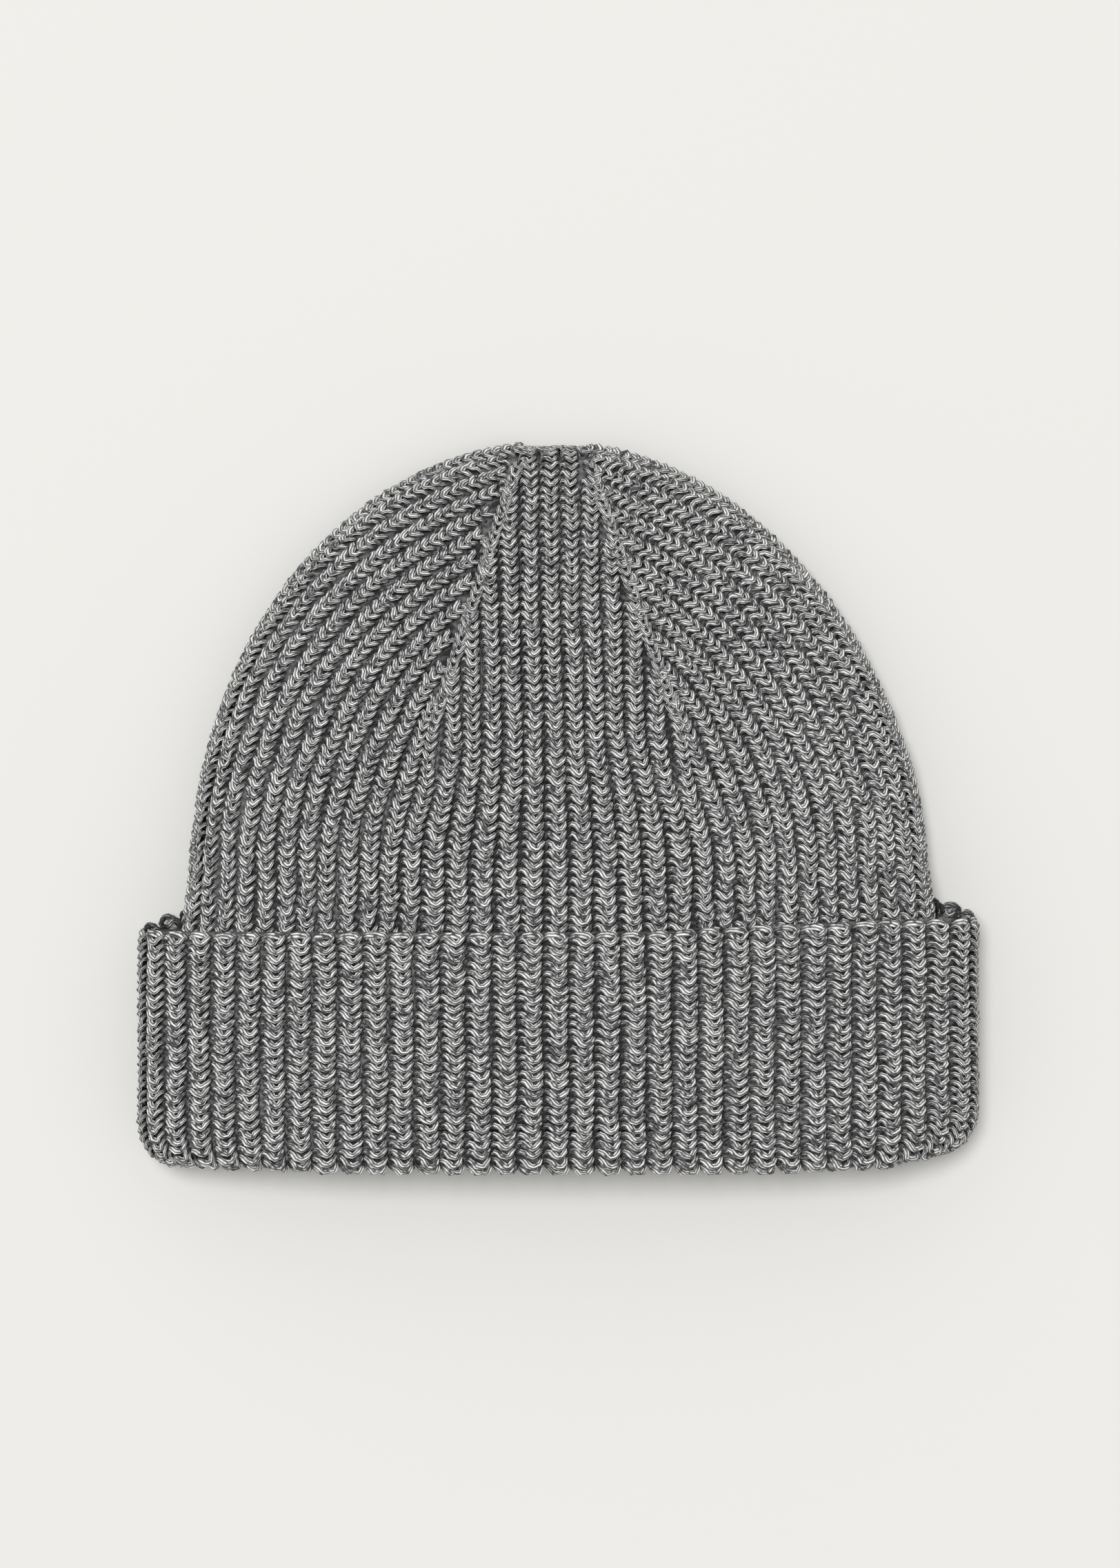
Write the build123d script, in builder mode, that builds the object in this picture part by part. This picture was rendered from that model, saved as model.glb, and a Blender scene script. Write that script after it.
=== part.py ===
"""Rib-knit beanie with a turned-up cuff, lying flat on its back.

X runs across the hat, +Y from the mouth to the crown, and +Z up from the surface it lies on. The origin is
on that surface, under the middle of the hat. The fabric is modelled as thick layers, one piece per section.
"""

import os
from math import acos, copysign, cos, pi, sin, sqrt

from build123d import *

# Overall sizes, in millimetres
hat_height = 206.5  # mouth fold to crown end, lying flat
cuff_half_width = 120.0
cuff_depth = 69.0
cuff_rise = 41.0  # top of the cuff above the surface
fabric = 4.5  # thickness of one layer of rib knit
layer_gap = 0.4  # between the turn-up and the body inside it

# Body
body_taper = 0.105  # loss of half width for each mm above the mouth
dome_start = 85.0  # distance from the mouth where the sides start to close
dome_power = 1.9  # fullness of the dome, seen from above
crown_rise = 11.0  # height of the hat at the crown end
rise_power = 1.6  # how early the upper side slopes down to the crown
rise_round = 0.6  # how blunt that slope ends
crown_end_half_width = 9.0
droop = 26.0  # length over which the back sinks from the cuff to the surface

# Mouth fold and its corners
fold_depth = 12.0
corner_cut = 12.0  # how far the corners draw the sides in at the mouth
lip_thickness = 0.6  # what is left of the fold's wall at its very edge
lip_steps = 4

# Crown sections
crown_start = 144.0  # distance from the mouth where the narrowing lines start
wedge_foot = 28.5  # half width of the centre wedge at its foot
wedge_head = 9.5  # and at the crown end
link_width = 2.4  # width of a linked narrowing line or seam

# Turn-up sections
side_cut = 78.0  # half width between the two turned sides
flap_gap = 0.6  # clearance round the part of the turn-up that lifts
edge_depth = 2.6  # depth of the bound-off edge

# Blank folded label
label_width = 28.0
label_length = 42.0
label_thickness = 0.9
label_start = 14.0
label_gap = 0.25
label_corner = 1.5

# Profile across the hat: flat below, domed above, widest low down
belly = 0.36  # share of the height at which the profile is widest
top_power = 2.5
side_turn = 24.0  # width of the rounding between the flat underside and the side
least_flat = 0.55  # share of the half width that stays flat however narrow the hat is
top_points = 19  # points of a curve over the top
turn_steps = 8  # steps of a curve round a side


def corner(s):
    """How far the rounded corners of the mouth draw the sides in, s from the mouth."""
    if s >= fold_depth:
        return 0.0
    return corner_cut * (1 - sqrt(1 - ((fold_depth - s) / fold_depth) ** 2))


def dome_share(s):
    """0 where the sides start to close, 1 at the crown end."""
    return max(0.0, (s - dome_start) / (hat_height - dome_start))


def body_size(s, inset=0.0):
    """Half width, underside and upper side of the body, drawn in by inset."""
    straight = cuff_half_width - fabric - layer_gap - body_taper * min(s, dome_start)
    closing = max(0.0, 1 - dome_share(s) ** dome_power) ** 0.5
    half = max(straight * closing - corner(s), crown_end_half_width)
    full = cuff_rise - fabric - layer_gap
    slope = max(0.0, 1 - dome_share(s) ** rise_power) ** rise_round
    sunk = min(1.0, max(0.0, (s - cuff_depth) / droop))
    low = (fabric + layer_gap) * (1 - sunk * sunk * (3 - 2 * sunk))
    return half - inset, low + inset, crown_rise + (full - crown_rise) * slope - inset


def cuff_size(s, inset=0.0):
    """The same for the turned-up fabric."""
    return cuff_half_width - corner(s) - inset, inset, cuff_rise - inset


def between(start, end, shares):
    """Distances from the mouth at the given shares of the way from start to end."""
    return [start + (end - start) * share for share in shares]


def flat_half(half):
    """Half width of the flat underside of a profile."""
    return max(half - side_turn, least_flat * half)


def over_points(size, x_from, x_to):
    """Points along the upper side of a profile, between two places across the hat."""
    half, low, high = size
    middle = low + belly * (high - low)
    first, last = (acos(copysign(abs(x / half) ** (top_power / 2), x)) for x in (x_from, x_to))
    points = []
    for step in range(top_points):
        angle = first + (last - first) * step / (top_points - 1)
        side = copysign(abs(cos(angle)) ** (2 / top_power), cos(angle))
        points.append((half * side, middle + (high - middle) * abs(sin(angle)) ** (2 / top_power)))
    return points


def turn_points(size, flat, side):
    """Points from the widest place of a profile down to the end of its flat underside."""
    half, low, high = size
    middle = low + belly * (high - low)
    angles = [pi / 2 * step / turn_steps for step in range(turn_steps + 1)]
    return [(side * (flat + (half - flat) * cos(a)), middle - (middle - low) * sin(a)) for a in angles]


def place(s):
    """Plane across the hat at a distance s from the mouth, looking along +Y."""
    return Plane(origin=(0, s - hat_height / 2, 0), x_dir=(1, 0, 0), z_dir=(0, -1, 0))


def over_section(s, outer, inner, x_from, x_to):
    """Section of one layer along the upper side. An x of None is the widest place of each profile."""
    runs = []
    for size in (outer, inner):
        x_first = size[0] if x_from is None else x_from
        x_last = -size[0] if x_to is None else x_to
        runs.append(over_points(size, x_first, x_last))
    with BuildSketch(place(s)) as section:
        with BuildLine():
            outside = Spline(*runs[0])
            inside = Spline(*runs[1])
            Line(outside @ 0, inside @ 0)
            Line(outside @ 1, inside @ 1)
        make_face()
    return section.sketch.face()


def under_section(s, outer, inner, x_from, x_to):
    """Section of one layer along the flat underside."""
    with BuildSketch(place(s)) as section:
        with BuildLine():
            Polyline((x_from, outer[1]), (x_to, outer[1]), (x_to, inner[1]), (x_from, inner[1]), close=True)
        make_face()
    return section.sketch.face()


def side_section(s, outer, inner, side, x_under, x_over=None):
    """Section of one layer round a side, from x_under below to x_over above, or to the widest place."""
    flat = flat_half(outer[0])
    ends = []
    with BuildSketch(place(s)) as section:
        with BuildLine():
            for size in (outer, inner):
                turn = turn_points(size, flat, side)
                if x_over is None:
                    bend = Spline(*turn)
                    top = bend @ 0
                else:
                    over = over_points(size, side * x_over, side * size[0])
                    bend = Spline(*over, *turn[1:])
                    top = bend @ 0
                foot = Line(bend @ 1, (side * x_under, size[1]))
                ends.append((top, foot @ 1))
            Line(ends[0][0], ends[1][0])
            Line(ends[0][1], ends[1][1])
        make_face()
    return section.sketch.face()


def save(piece, name):
    """Labels a finished piece and writes it."""
    piece.part.label = name
    export_step(piece.part, f"parts/{name}.step")


def build(name, sections):
    """Makes one piece of fabric through its sections."""
    with BuildPart() as piece:
        loft(sections, ruled=True)
    save(piece, name)


os.makedirs("parts", exist_ok=True)
sides = (("left", -1), ("right", 1))
half_link = link_width / 2

# ---- body: front layer, back layer each side of the seam, and the seam

body_stations = [
    *between(fold_depth, cuff_depth, (0, 0.5)),
    *between(cuff_depth, cuff_depth + droop, (0, 0.27, 0.5, 0.77)),
    *between(cuff_depth + droop, crown_start, (0, 0.3, 0.65, 1)),
]
body_layers = [(s, body_size(s), body_size(s, fabric)) for s in body_stations]

build("body_front", [over_section(s, outer, inner, None, None) for s, outer, inner in body_layers])
build("body_back_seam", [under_section(*layer, -half_link, half_link) for layer in body_layers])
for side_name, side in sides:
    sections = [side_section(*layer, side, half_link) for layer in body_layers]
    build(f"body_back_{side_name}", sections)

# ---- crown: centre wedges, the narrowing lines beside them, and the side wedges


def wedge_edge(s):
    """Half width of the centre wedge, to the middle of its narrowing line."""
    share = (s - crown_start) / (hat_height - crown_start)
    return wedge_foot + (wedge_head - wedge_foot) * share


gather_start = hat_height - fabric
crown_stations = between(crown_start, gather_start, (0, 0.24, 0.46, 0.65, 0.79, 0.9, 1))
crown_layers = [(s, body_size(s), body_size(s, fabric)) for s in crown_stations]
edges = [wedge_edge(s) for s in crown_stations]

build("crown_front", [over_section(*layer, edge - half_link, half_link - edge)
                      for layer, edge in zip(crown_layers, edges)])
build("crown_back_seam", [under_section(*layer, -half_link, half_link) for layer in crown_layers])
for side_name, side in sides:
    over_links, under_links, backs, wraps = [], [], [], []
    for layer, edge in zip(crown_layers, edges):
        near, far = side * (edge - half_link), side * (edge + half_link)
        over_links.append(over_section(*layer, near, far))
        under_links.append(under_section(*layer, near, far))
        backs.append(under_section(*layer, side * half_link, near))
        wraps.append(side_section(*layer, side, edge + half_link, edge + half_link))
    build(f"crown_link_front_{side_name}", over_links)
    build(f"crown_link_back_{side_name}", under_links)
    build(f"crown_back_{side_name}", backs)
    build(f"crown_{side_name}", wraps)

with BuildPart() as crown_gather:
    closed = []
    for s in between(gather_start, hat_height, (0, 0.5, 0.8, 1)):
        size = body_size(s)
        flat = flat_half(size[0])
        with BuildSketch(place(s)) as end_section:
            with BuildLine():
                top = Spline(*over_points(size, size[0], -size[0]))
                right = Spline(*turn_points(size, flat, 1))
                left = Spline(*turn_points(size, flat, -1))
                Line(right @ 1, left @ 1)
            make_face()
        closed.append(end_section.sketch.face())
    loft(closed, ruled=True)
save(crown_gather, "crown_gather")

# ---- mouth fold: front, back and the two side turns

lip_radius = (2 * fabric + layer_gap - lip_thickness) / 2
lip_angles = [pi / 2 * step / lip_steps for step in range(lip_steps + 1)]
fold_layers = []
for angle in lip_angles:
    s, inset = lip_radius * (1 - cos(angle)), lip_radius * (1 - sin(angle))
    fold_layers.append((s, cuff_size(s, inset), body_size(s, fabric - inset)))
fold_layers.append((fold_depth, cuff_size(fold_depth), body_size(fold_depth, fabric)))

build("mouth_fold_front", [over_section(*layer, side_cut, -side_cut) for layer in fold_layers])
build("mouth_fold_back", [under_section(*layer, -side_cut, side_cut) for layer in fold_layers])
for side_name, side in sides:
    build(f"mouth_fold_{side_name}", [side_section(*layer, side, side_cut, side_cut) for layer in fold_layers])

# ---- turn-up: every section ends in its own strip of bound-off edge

edge_start = cuff_depth - edge_depth
flap_half = side_cut - flap_gap
turn_up = (cuff_size(cuff_depth), cuff_size(cuff_depth, fabric))


def turn_up_piece(name, draw_section, span, s_low, s_high):
    """Makes one straight piece of the turn-up between two distances from the mouth."""
    with BuildPart() as piece:
        extrude(draw_section(s_low, *turn_up, *span), amount=s_low - s_high)
    save(piece, name)


for part_name, s_low, s_high in (("cuff", fold_depth, edge_start), ("cuff_edge", edge_start, cuff_depth)):
    flap_low = s_low + flap_gap if part_name == "cuff" else s_low
    turn_up_piece(f"{part_name}_front", over_section, (flap_half, -flap_half), flap_low, s_high)
    for side_name, side in sides:
        full_name = f"cuff_side_{side_name}" if part_name == "cuff" else f"cuff_edge_{side_name}"
        turn_up_piece(full_name, side_section, (side, side_cut, side_cut), s_low, s_high)

turn_up_piece("cuff_edge_back", under_section, (-side_cut, side_cut), edge_start, cuff_depth)
turn_up_piece("cuff_back_seam", under_section, (-half_link, half_link), fold_depth, edge_start)
for side_name, side in sides:
    turn_up_piece(f"cuff_back_{side_name}", under_section, (side * half_link, side * side_cut),
                  fold_depth, edge_start)

# ---- blank folded label, caught in the back seam inside the body

label_base = body_size(cuff_depth, fabric)[1] + label_gap

with BuildPart() as care_label:
    with BuildSketch(Plane.XY.offset(label_base)):
        with Locations((0, label_start + label_length / 2 - hat_height / 2)):
            RectangleRounded(label_width, label_length, label_corner)
    extrude(amount=label_thickness)
save(care_label, "care_label")
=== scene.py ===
# Chunky rib-knit beanie with a turned-up cuff, lying on its back, its fabric built stitch by stitch
from functools import partial

import bpy
import numpy as np
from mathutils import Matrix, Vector


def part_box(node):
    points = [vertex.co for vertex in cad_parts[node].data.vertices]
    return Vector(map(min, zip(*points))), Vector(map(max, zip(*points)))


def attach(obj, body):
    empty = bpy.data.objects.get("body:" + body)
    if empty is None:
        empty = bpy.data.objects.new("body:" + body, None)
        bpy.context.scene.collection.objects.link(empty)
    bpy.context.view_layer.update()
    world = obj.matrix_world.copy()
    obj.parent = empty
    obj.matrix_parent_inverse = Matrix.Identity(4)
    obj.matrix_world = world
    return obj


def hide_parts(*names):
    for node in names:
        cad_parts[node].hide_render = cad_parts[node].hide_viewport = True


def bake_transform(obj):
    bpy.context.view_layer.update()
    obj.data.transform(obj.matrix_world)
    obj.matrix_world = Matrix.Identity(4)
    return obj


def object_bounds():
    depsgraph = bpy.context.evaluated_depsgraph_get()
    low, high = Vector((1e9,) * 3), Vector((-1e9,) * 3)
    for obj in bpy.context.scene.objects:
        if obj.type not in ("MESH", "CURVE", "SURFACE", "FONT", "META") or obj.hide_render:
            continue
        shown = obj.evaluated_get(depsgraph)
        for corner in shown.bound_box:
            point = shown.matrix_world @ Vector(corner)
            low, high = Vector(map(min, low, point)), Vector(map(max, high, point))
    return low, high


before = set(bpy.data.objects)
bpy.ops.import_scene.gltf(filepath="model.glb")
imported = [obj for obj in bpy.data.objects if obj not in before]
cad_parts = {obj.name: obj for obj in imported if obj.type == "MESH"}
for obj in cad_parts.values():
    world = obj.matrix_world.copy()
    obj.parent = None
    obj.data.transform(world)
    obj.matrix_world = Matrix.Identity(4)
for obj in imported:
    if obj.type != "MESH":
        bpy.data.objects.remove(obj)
cadLow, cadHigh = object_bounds()
mm = 0.001

# The hat's form. Distances s run along +Y from the mouth fold, and insets go into the fabric.
hat = {
    "mouthY": cadLow.y,
    "height": cadHigh.y - cadLow.y,
    "halfWidth": cadHigh.x,
    "rise": cadHigh.z,
    "cuffEnd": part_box("cuff_edge_back")[1].y - cadLow.y,
    "foldEnd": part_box("mouth_fold_back")[1].y - cadLow.y,
    "flapStart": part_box("cuff_front")[0].y - cadLow.y,
    "crownStart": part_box("crown_back_left")[0].y - cadLow.y,
    "wedgeStart": 127 * mm,  # where the ribs of the sides begin to run into the centre wedge
    "wedgeHead": 9.5 * mm,
    "fabric": 4.5 * mm,
    "layerGap": 0.4 * mm,
    "taper": 0.121,
    "domeStart": 85 * mm,
    "domePower": 1.80,
    "crownRise": 11 * mm,
    "risePower": 1.6,
    "riseRound": 0.6,
    "endHalfWidth": 8 * mm,
    "endRound": 8 * mm,  # length over which the crown end rounds off
    "droop": 26 * mm,
    "cornerCut": 12 * mm,
    "belly": 0.36,
    "topPower": 2.5,
    "sideTurn": 24 * mm,
    "leastFlat": 0.55,
}

# The knitting: how far apart ribs and rows lie
knit = {
    "ribs": 18,  # from the middle of the front to a side
    "wedgeRibs": 6,
    "cuffPitch": 7.25 * mm,
    "cuffRow": 2.35 * mm,
    "middlePitch": 7.0 * mm,  # of the middle ribs at the cuff
    "wedgePitch": 5.75 * mm,  # of the same ribs in the centre wedge
    "narrowFrom": 82 * mm,
    "fanFrom": 104 * mm,
    "meetShares": (0, 0.2, 0.45, 0.8, 1),  # from the side rib to the one beside the wedge
    "meetAngles": (82, 68, 58, 54, 14),  # degrees off the hat's length at which they run into the wedge
    "meetPower": 1.35,  # more than 1 draws the ribs together towards the crown end
    "outlinePower": 1.25,  # how fast the outline's own form fades over the ribs beside it
    "fanSteps": 160,
    "firstStation": 14 * mm,
    "planStations": 400,
    "planCrowding": 1.8,
    "planReach": 96 * mm,  # how far in from the outline the plan is measured
    "planSteps": 150,
    "middleSteps": 260,
    "sideGap": 0.5 * mm,  # from the end of a side rib to the wedge's edge
    "middleGap": 0.9 * mm,
    "leastPitch": 4.7 * mm,
    "mostPitch": 8.6 * mm,
    "sideLift": 0.6,  # how far the rib along each side faces up
    "outlineRise": 3.2 * mm,  # the same rib climbs this far up the crown's edge
    "outlineReach": 1.6,  # times the way from fanFrom to the crown pieces, over which it climbs
    "outlinePitch": 6.9 * mm,
    "tuckedUnder": 4 * mm,  # the body's ribs run on this far below the turn-up
    "frontHalf": 90 * mm,  # and within this half width of the front, down to the mouth
    "lean": 2.2 * mm,  # the crown lies this far to the left
    "leanFrom": 85 * mm,
    "leanTo": 185 * mm,
    "cornerLift": 4.2 * mm,  # the mouth's right corner is this much rounder
    "cornerFrom": 86 * mm,
    "cornerTo": 48 * mm,
    "mouthSag": 1.3 * mm,  # the mouth's middle hangs this much lower
    "sagHalf": 112 * mm,
    "sagTo": 40 * mm,
    "edgeSlant": 3.6 * mm,  # the turn-up reaches this much higher on the right
    "slantFrom": 8 * mm,
    "slantTo": 112 * mm,
    "slantEnd": 130 * mm,
    "middleRow": 2.62 * mm,
    "sideRow": 2.85 * mm,
    "groundInset": 2.1 * mm,  # the line that stitches stand on, below the rib tops
    "wander": 0.35 * mm,
    "waveLength": 45 * mm,
    "phaseStep": 0.35,
    "quickWave": 2.3,  # a second wave this much shorter
    "quickShare": 0.6,
    "waveEase": 0.6,
    "seed": 11,
}


def smooth(t):
    t = np.clip(t, 0, 1)
    return t * t * (3 - 2 * t)


def risen(value, start, end):
    # eases from 0 at start to 1 at end
    return smooth((value - start) / (end - start))


def stationsFrom(first, count, crowding):
    # stations up to the crown end, closer together towards it
    return hat["height"] - (hat["height"] - first) * np.linspace(1, 0, count) ** crowding


def cornerIn(s):
    share = np.clip((hat["foldEnd"] - s) / hat["foldEnd"], 0, 1)
    return hat["cornerCut"] * (1 - np.sqrt(1 - share**2))


def bodySize(s, inset=0.0):
    # half width, underside and upper side of the body at s
    share = np.clip((s - hat["domeStart"]) / (hat["height"] - hat["domeStart"]), 0, 1)
    walls = hat["fabric"] + hat["layerGap"]
    straight = hat["halfWidth"] - walls - hat["taper"] * np.minimum(s, hat["domeStart"])
    half = np.maximum(straight * np.sqrt(1 - share ** hat["domePower"]) - cornerIn(s), hat["endHalfWidth"])
    slope = (1 - share ** hat["risePower"]) ** hat["riseRound"]
    high = hat["crownRise"] + (hat["rise"] - walls - hat["crownRise"]) * slope
    low = walls * (1 - smooth((s - hat["cuffEnd"]) / hat["droop"]))
    endShare = np.clip((s - hat["height"] + hat["endRound"]) / (hat["endRound"] - inset), 0, 1)
    closing = np.sqrt(1 - endShare**2)
    middle = hat["crownRise"] / 2
    high, low = high - inset, low + inset
    return half - inset, middle + (low - middle) * closing, middle + (high - middle) * closing


def cuffSize(s, inset=0.0):
    return hat["halfWidth"] - cornerIn(s) - inset, inset + 0 * s, hat["rise"] - inset + 0 * s


def halfRing(size, steps=120):
    # half of a section from the middle of the top round the +X side to the middle of the underside
    half, low, high = size
    middle = low + hat["belly"] * (high - low)
    flat = max(half - hat["sideTurn"], hat["leastFlat"] * half)
    down = np.linspace(0, 1, steps) * np.pi / 2
    overX = half * np.sin(down) ** (2 / hat["topPower"])
    overZ = middle + (high - middle) * np.cos(down) ** (2 / hat["topPower"])
    turnX = flat + (half - flat) * np.cos(down[1:])
    turnZ = middle - (middle - low) * np.sin(down[1:])
    under = np.linspace(flat, 0, steps // 2)[1:]
    x = np.concatenate((overX, turnX, under))
    z = np.concatenate((overZ, turnZ, 0 * under + low))
    arc = np.concatenate(([0], np.cumsum(np.hypot(np.diff(x), np.diff(z)))))
    return x, z, arc, arc[steps - 1]


def unit(vectors):
    return vectors / (np.linalg.norm(vectors, axis=-1, keepdims=True) + 1e-12)


def lengthsAlong(points):
    return np.concatenate(([0], np.cumsum(np.linalg.norm(np.diff(points, axis=0), axis=1))))


def valuesAt(at, walked, values):
    return np.stack([np.interp(at, walked, column) for column in values.T], axis=1)


def addToScene(name, data, place=(0, 0, 0)):
    holder = bpy.data.objects.new(name, data)
    holder.location = place
    bpy.context.scene.collection.objects.link(holder)
    return holder


# The body's surface as a grid, and ribs laid over it

grid = {
    "first": 10 * mm,
    "stations": 420,
    "crowding": 1.6,
    "shares": 361,
    "endGap": 0.5 * mm,  # the middle ribs stop this far from the crown end
}

print("laying out the ribs")
gridStations = stationsFrom(grid["first"], grid["stations"], grid["crowding"])
gridShares = np.linspace(0, 1, grid["shares"])


def bodyGrid(inset=0.0, stations=gridStations, shares=gridShares):
    # points and normals of half the body, by station and by share of the way round
    points = np.zeros((len(stations), len(shares), 3))
    widest = np.zeros(len(stations))
    for i, s in enumerate(stations):
        x, z, arc, sideArc = halfRing(bodySize(s, inset))
        points[i, :, 0] = np.interp(shares * arc[-1], arc, x)
        points[i, :, 1] = hat["mouthY"] + min(s, hat["height"] - inset)
        points[i, :, 2] = np.interp(shares * arc[-1], arc, z)
        widest[i] = sideArc / arc[-1]
    normals = unit(np.cross(np.gradient(points, axis=1), np.gradient(points, axis=0)))
    return points, normals, widest


bodyPoints, bodyNormals, bodyWidest = bodyGrid()


def sharesAt(x, s, under):
    # share of the way round at which the surface passes over, or under, x
    shares = np.zeros(len(x))
    for i, (oneX, oneS) in enumerate(zip(x, s)):
        row = int(np.clip(np.searchsorted(gridStations, oneS), 0, len(gridStations) - 1))
        side = int(bodyWidest[row] * (len(gridShares) - 1))
        across = bodyPoints[row, :, 0]
        if under:
            shares[i] = np.interp(oneX, across[side:][::-1], gridShares[side:][::-1])
        else:
            shares[i] = np.interp(oneX, across[: side + 1], gridShares[: side + 1])
    return shares


def onBody(s, shares):
    # points and outward directions on the body's surface
    row = np.interp(s, gridStations, np.arange(len(gridStations)))
    column = shares * (len(gridShares) - 1)
    rowLow = np.clip(row.astype(int), 0, len(gridStations) - 2)
    columnLow = np.clip(column.astype(int), 0, len(gridShares) - 2)
    rowPart, columnPart = (row - rowLow)[:, None], (column - columnLow)[:, None]
    found = []
    for field in (bodyPoints, bodyNormals):
        near = field[rowLow, columnLow] * (1 - columnPart) + field[rowLow, columnLow + 1] * columnPart
        far = field[rowLow + 1, columnLow] * (1 - columnPart) + field[rowLow + 1, columnLow + 1] * columnPart
        found.append(near * (1 - rowPart) + far * rowPart)
    return found[0], unit(found[1])


def middlePitchAt(s):
    share = risen(s, knit["narrowFrom"], hat["wedgeStart"])
    return knit["middlePitch"] + (knit["wedgePitch"] - knit["middlePitch"]) * share


def wedgeEdge(s):
    share = (s - hat["wedgeStart"]) / (hat["height"] - hat["wedgeStart"])
    foot = knit["wedgeRibs"] * knit["wedgePitch"]
    return foot + (hat["wedgeHead"] - foot) * share


def surfaceHeight(x, s, under):
    # how high the body's surface lies over the point x, s of the plan
    half, low, high = bodySize(np.minimum(s, hat["height"] - grid["endGap"]))
    middle = low + hat["belly"] * (high - low)
    if under:
        flat = np.maximum(half - hat["sideTurn"], hat["leastFlat"] * half)
        turn = np.clip((np.abs(x) - flat) / (half - flat), 0, 1)
        return middle - (middle - low) * np.sqrt(1 - turn**2)
    across = np.clip(np.abs(x) / half, 0, 1)
    return middle + (high - middle) * (1 - across ** hat["topPower"]) ** (1 / hat["topPower"])


def sideRibPlans(under):
    # plan lines of the side ribs: they follow the hat's outline, and in the crown they fan in to the wedge
    s = stationsFrom(knit["firstStation"], knit["planStations"], knit["planCrowding"])
    x = bodySize(s)[0]
    along = unit(np.stack((np.gradient(x), np.gradient(s)), axis=1))
    inward = np.stack((-along[:, 1], along[:, 0]), axis=1)
    reach = np.linspace(0, 1, knit["planSteps"]) ** 2 * knit["planReach"]
    planX = x[:, None] + inward[:, :1] * reach
    planS = np.clip(s[:, None] + inward[:, 1:] * reach, grid["first"], hat["height"])
    z = surfaceHeight(planX, planS, under)
    steps = np.sqrt(np.diff(planX) ** 2 + np.diff(planS) ** 2 + np.diff(z) ** 2)
    walked = np.concatenate((np.zeros((len(s), 1)), np.cumsum(steps, axis=1)), axis=1)
    reached = np.argmax(planX < knit["wedgeRibs"] * middlePitchAt(planS), axis=1)
    wholeWay = walked[np.arange(len(s)), reached]
    foot = int(np.argmax(planS[np.arange(len(s)), reached] >= knit["fanFrom"]))
    outline = np.stack((x, s), axis=1)[foot:]
    outlineWalked = lengthsAlong(outline)
    t = np.linspace(0, 1, knit["fanSteps"])
    outlineAt = valuesAt(t * outlineWalked[-1], outlineWalked, outline)

    def fan(share, first, lean):
        # a smooth curve from a rib's point and direction at the foot of the fan to the wedge
        endS = hat["height"] - (hat["height"] - hat["wedgeStart"]) * share ** knit["meetPower"]
        end = np.array((wedgeEdge(endS), endS))
        angle = np.radians(np.interp(share, knit["meetShares"], knit["meetAngles"]))
        into = np.array((-np.sin(angle), np.cos(angle)))
        far = np.linalg.norm(end - first)
        k = t[:, None]
        return ((2 * k**3 - 3 * k**2 + 1) * first + (k**3 - 2 * k**2 + k) * lean * far
                + (3 * k**2 - 2 * k**3) * end + (k**3 - k**2) * into * far)

    def ribLine(share):
        # share 0 is the outline and 1 the first middle rib
        away = np.array([np.interp(share * way, w, reach) for way, w in zip(wholeWay, walked)])
        lower = np.stack((x + inward[:, 0] * away, s + inward[:, 1] * away), axis=1)[: foot + 1]
        upper = fan(share, lower[-1], unit(lower[-1] - lower[-4]))
        straight = fan(0.0, outline[0], along[foot])
        upper = upper + (outlineAt - straight) * (1 - share ** knit["outlinePower"])
        return np.concatenate((lower[:-1], upper))

    sideRibs = knit["ribs"] - knit["wedgeRibs"]
    plans = {}
    for rib in range(knit["wedgeRibs"], knit["ribs"] + 1):
        share = (knit["ribs"] - rib) / sideRibs
        line = ribLine(share)
        near = [ribLine(np.clip(share + half / sideRibs, 0, 1)) for half in (-0.5, 0.5)]
        solid = [np.column_stack((one, surfaceHeight(one[:, 0], one[:, 1], under))) for one in (line, *near)]
        forward = unit(np.gradient(solid[0], axis=0))
        between = solid[2] - solid[1]
        pitch = np.linalg.norm(np.cross(between, forward), axis=1)
        if rib in (knit["wedgeRibs"], knit["ribs"]):
            pitch = pitch * 2
        pitch = np.clip(pitch, knit["leastPitch"], knit["mostPitch"])
        inside = (line[:, 1] < hat["wedgeStart"]) | (line[:, 0] > wedgeEdge(line[:, 1]) + knit["sideGap"])
        last = len(inside) if inside.all() else int(np.argmin(inside))
        plans[rib] = (line[:last, 0], line[:last, 1], pitch[:last])
    return plans


def middleRibPlans():
    # ribs of the front's or back's middle, which stand upright in the centre wedge
    plans = {}
    for rib in range(knit["wedgeRibs"]):
        s = np.linspace(knit["firstStation"], hat["height"] - grid["endGap"], knit["middleSteps"])
        pitch = middlePitchAt(s)
        inside = rib * pitch < wedgeEdge(s) - knit["middleGap"]
        last = len(inside) if inside.all() else int(np.argmin(inside))
        plans[rib] = (rib * pitch[:last], s[:last], pitch[:last])
    return plans


def wandering(rib, s, chance):
    # slow sideways drift of one rib
    phase = chance.uniform(0, 2 * np.pi, 2)
    wave = 2 * np.pi * s / knit["waveLength"]
    slow = np.sin(wave + phase[0] + rib * knit["phaseStep"])
    quick = np.sin(wave * knit["quickWave"] + phase[1])
    return knit["wander"] * (slow + knit["quickShare"] * quick) * knit["waveEase"]


def stitchesOn(path, outward, pitch, row, first=0.5):
    # stitches at every row along a path
    walked = lengthsAlong(path)
    at = np.arange(first * row, walked[-1], row)
    return {
        "place": valuesAt(at, walked, path),
        "along": unit(valuesAt(at, walked, np.gradient(path, walked, axis=0))),
        "outward": unit(valuesAt(at, walked, outward)),
        "pitch": np.interp(at, walked, pitch + 0 * walked),
        "row": np.full(len(at), row),
    }


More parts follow.
